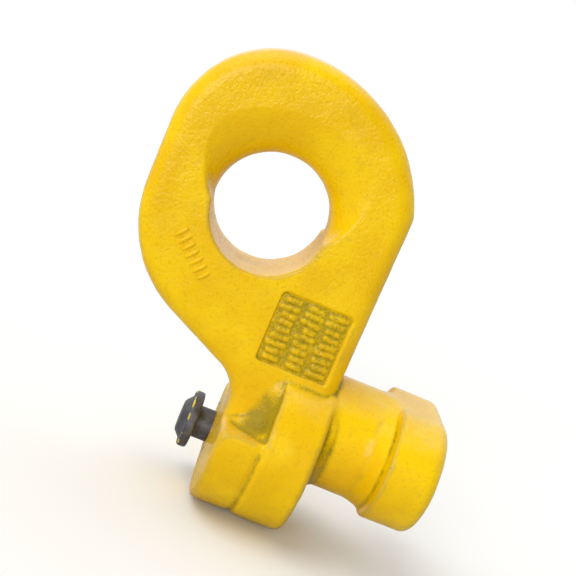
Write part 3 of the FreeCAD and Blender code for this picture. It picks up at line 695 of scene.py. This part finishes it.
def make_marks(name, numbers, middle, turn, sheet_side=0.0):
    """A block of raised marks on the lug's marked face, whose outward direction is -Y."""
    marks = link(name, bpy.data.meshes.new(name))
    mesh = run_tree(marks, marks_tree, numbers, enamel)
    if sheet_side:
        add_sheet(mesh, sheet_side, SHEET_THICKNESS)
    stand_up = Matrix.Rotation(math.radians(90), 4, "X")
    mesh.transform(Matrix.Translation(middle) @ Matrix.Rotation(turn, 4, "Y") @ stand_up)
    mesh.update()
    remesh(marks, MARK_SQUARE)
    mesh = marks.data
    mesh.vertices.foreach_set("co", soften(read_points(mesh), read_edges(mesh), MARK_ROUNDS).ravel())
    write_number(mesh, "machined", np.zeros(len(mesh.vertices)))
    mesh = run_tree(marks, skin_tree, MARK_SKIN, enamel)
    # The marks are drawn darker all over, the panel most: grime, and painted shade.
    mark_wear(mesh, MARK_WEAR_SPREAD, MARK_WEAR_DEPTH, SHEET_DIRT_AND_SHADE if sheet_side else TICK_DIRT_AND_SHADE)
    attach(marks, "lug")
    print(name, "triangles:", count_triangles(mesh))


make_marks("panel_marks", {}, PANEL_MIDDLE - Vector((0, SHEET_PROUD, 0)), 0, PANEL_SIDE + 1 * MM)
make_marks("side_marks", TICKS, TICKS_MIDDLE, TICKS_TURN)

# %% [markdown]
# ## The pull knob
# The knob is a turned disc with a flat cone on its outside, pinned to the plunger's stem. Its edges are
# slightly rounded, and the outer one carries dashes of yellow paint. A fine remesh of the CAD knob rounds
# the edges and keeps the hole for its pin. Only the half away from the lug is marked as worn.

# %% The pull knob
KNOB_SQUARE = 0.28 * MM
KNOB_ROUNDS = 10
KNOB_WEAR_SPREAD = 30
KNOB_WEAR_DEPTH = 0.16 * MM
knob = copy_skin(nodes["pull_knob"], "turned_pull_knob")
remesh(knob, KNOB_SQUARE)
knob_points = soften(read_points(knob.data), read_edges(knob.data), KNOB_ROUNDS)
knob.data.vertices.foreach_set("co", knob_points.ravel())
knob.data.update()
knob.data.materials.clear()
knob.data.materials.append(steels["grey_steel"])
knob.data.shade_smooth()
outer_half = knob_points[:, 0] < knob_points[:, 0].mean()
mark_wear(knob.data, KNOB_WEAR_SPREAD, KNOB_WEAR_DEPTH, worn=outer_half)
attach(knob, "locking_plunger")
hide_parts("pull_knob")
print("knob triangles:", count_triangles(knob.data))

# %% [markdown]
# ## The spring
# A coil spring inside the flange holds the plunger out. Pulling the knob squeezes its coils together
# against the washer, so a rigid spring would be cut by the plunger's collar. The piece is a copy of the
# CAD coil, whose wire is already round.

# %% The spring
coil = copy_skin(nodes["plunger_spring"], "coiled_spring")
coil.data.materials.clear()
coil.data.materials.append(steels["spring_steel"])
coil.data.shade_smooth()
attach(coil, "lug")
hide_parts("plunger_spring")
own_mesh(coil)

# %% [markdown]
# ## Small parts
# The plunger, its roll pin, the washer, the guide plug and its screw are simple turned or punched parts,
# and the CAD shapes already are their true shapes. They keep the CAD mesh and only get their finishes.
# The plug is painted together with the casting, so it gets the same enamel.

# %% Small parts
finishes = {"plunger": steels["grey_steel"], "knob_roll_pin": steels["spring_steel"],
            "spring_washer": steels["zinc"], "plug_set_screw": steels["black_oxide"],
            "guide_plug": enamel}
for name, finish in finishes.items():
    nodes[name].data.materials.clear()
    nodes[name].data.materials.append(finish)
print("dressed", ", ".join(finishes))

# %% [markdown]
# ## Studio
# The studio is a pale paper floor, a white surround that is brighter behind the lug than in front of it,
# one wide soft light overhead and one beside the camera. The gloss shows them: white along every face
# that turns away, and one pale patch on top of each round. The lights are suns with a wide angle, so they
# are equally bright all over the floor. The plain view transform keeps the yellow as strong as it is.

# %% Studio
FLOOR_HALF = 4.0
FLOOR_SEEN = "F8F8F6"
FLOOR_BOUNCE = "BCBCBA"
FRONT_BRIGHTNESS = 0.30
bpy.context.scene.view_settings.view_transform = "Standard"


def make_floor():
    """A wide sheet of matt paper at the level of the lug's lowest point.

    It looks white, but it throws less light back up, so the lug's undersides keep their depth.
    """
    half, level = FLOOR_HALF, lowest.z
    mesh = bpy.data.meshes.new("floor")
    corners = [(-half, -half, level), (half, -half, level), (half, half, level), (-half, half, level)]
    mesh.from_pydata(corners, [], [(0, 1, 2, 3)])
    floor = link("floor", mesh)
    paper = new_material("matt_white_paper")
    tree = paper.node_tree
    seen = add_node(tree, "ShaderNodeLightPath").outputs["Is Camera Ray"]
    grey = add_node(tree, "ShaderNodeMix", {0: seen, 6: linear(FLOOR_BOUNCE), 7: linear(FLOOR_SEEN)},
                    data_type="RGBA").outputs[2]
    sheet = add_node(tree, "ShaderNodeBsdfPrincipled",
                     {"Base Color": grey, "Roughness": 0.9, "Specular IOR Level": 0.0})
    add_node(tree, "ShaderNodeOutputMaterial", {"Surface": sheet})
    mesh.materials.append(paper)


def make_sky_light(name, toward, spread, strength):
    """A broad soft light from one direction, equally bright everywhere on the floor."""
    data = bpy.data.lights.new(name, "SUN")
    data.angle = math.radians(spread)
    data.energy = strength
    lamp = bpy.data.objects.new(name, data)
    lamp.rotation_euler = Vector(toward).to_track_quat("Z", "Y").to_euler()
    bpy.context.scene.collection.objects.link(lamp)


def make_surround():
    """A world that is white behind the lug and greyer in front, and plain white to the camera."""
    world = bpy.data.worlds.new("white_surround")
    world.use_nodes = True
    tree = world.node_tree
    tree.nodes.clear()
    place = add_node(tree, "ShaderNodeTexCoord").outputs["Generated"]
    depth = add_node(tree, "ShaderNodeSeparateXYZ", {"Vector": place}).outputs["Y"]
    light = add_node(tree, "ShaderNodeMapRange", {"Value": depth, "From Min": -0.4, "From Max": 0.3,
                                                  "To Min": FRONT_BRIGHTNESS, "To Max": 1.0},
                     interpolation_type="SMOOTHSTEP")
    direct = add_node(tree, "ShaderNodeLightPath").outputs["Is Camera Ray"]
    strength = add_node(tree, "ShaderNodeMath", {0: light, 1: direct}, operation="MAXIMUM")
    shell = add_node(tree, "ShaderNodeBackground", {"Color": linear("FFFFFF"), "Strength": strength})
    add_node(tree, "ShaderNodeOutputWorld", {"Surface": shell})
    bpy.context.scene.world = world


make_floor()
make_sky_light("overhead_soft_box", toward=(-0.60, -0.25, 1.0), spread=50, strength=1.15)
make_sky_light("front_soft_box", toward=(-0.35, -1.0, 0.20), spread=40, strength=1.9)
make_surround()
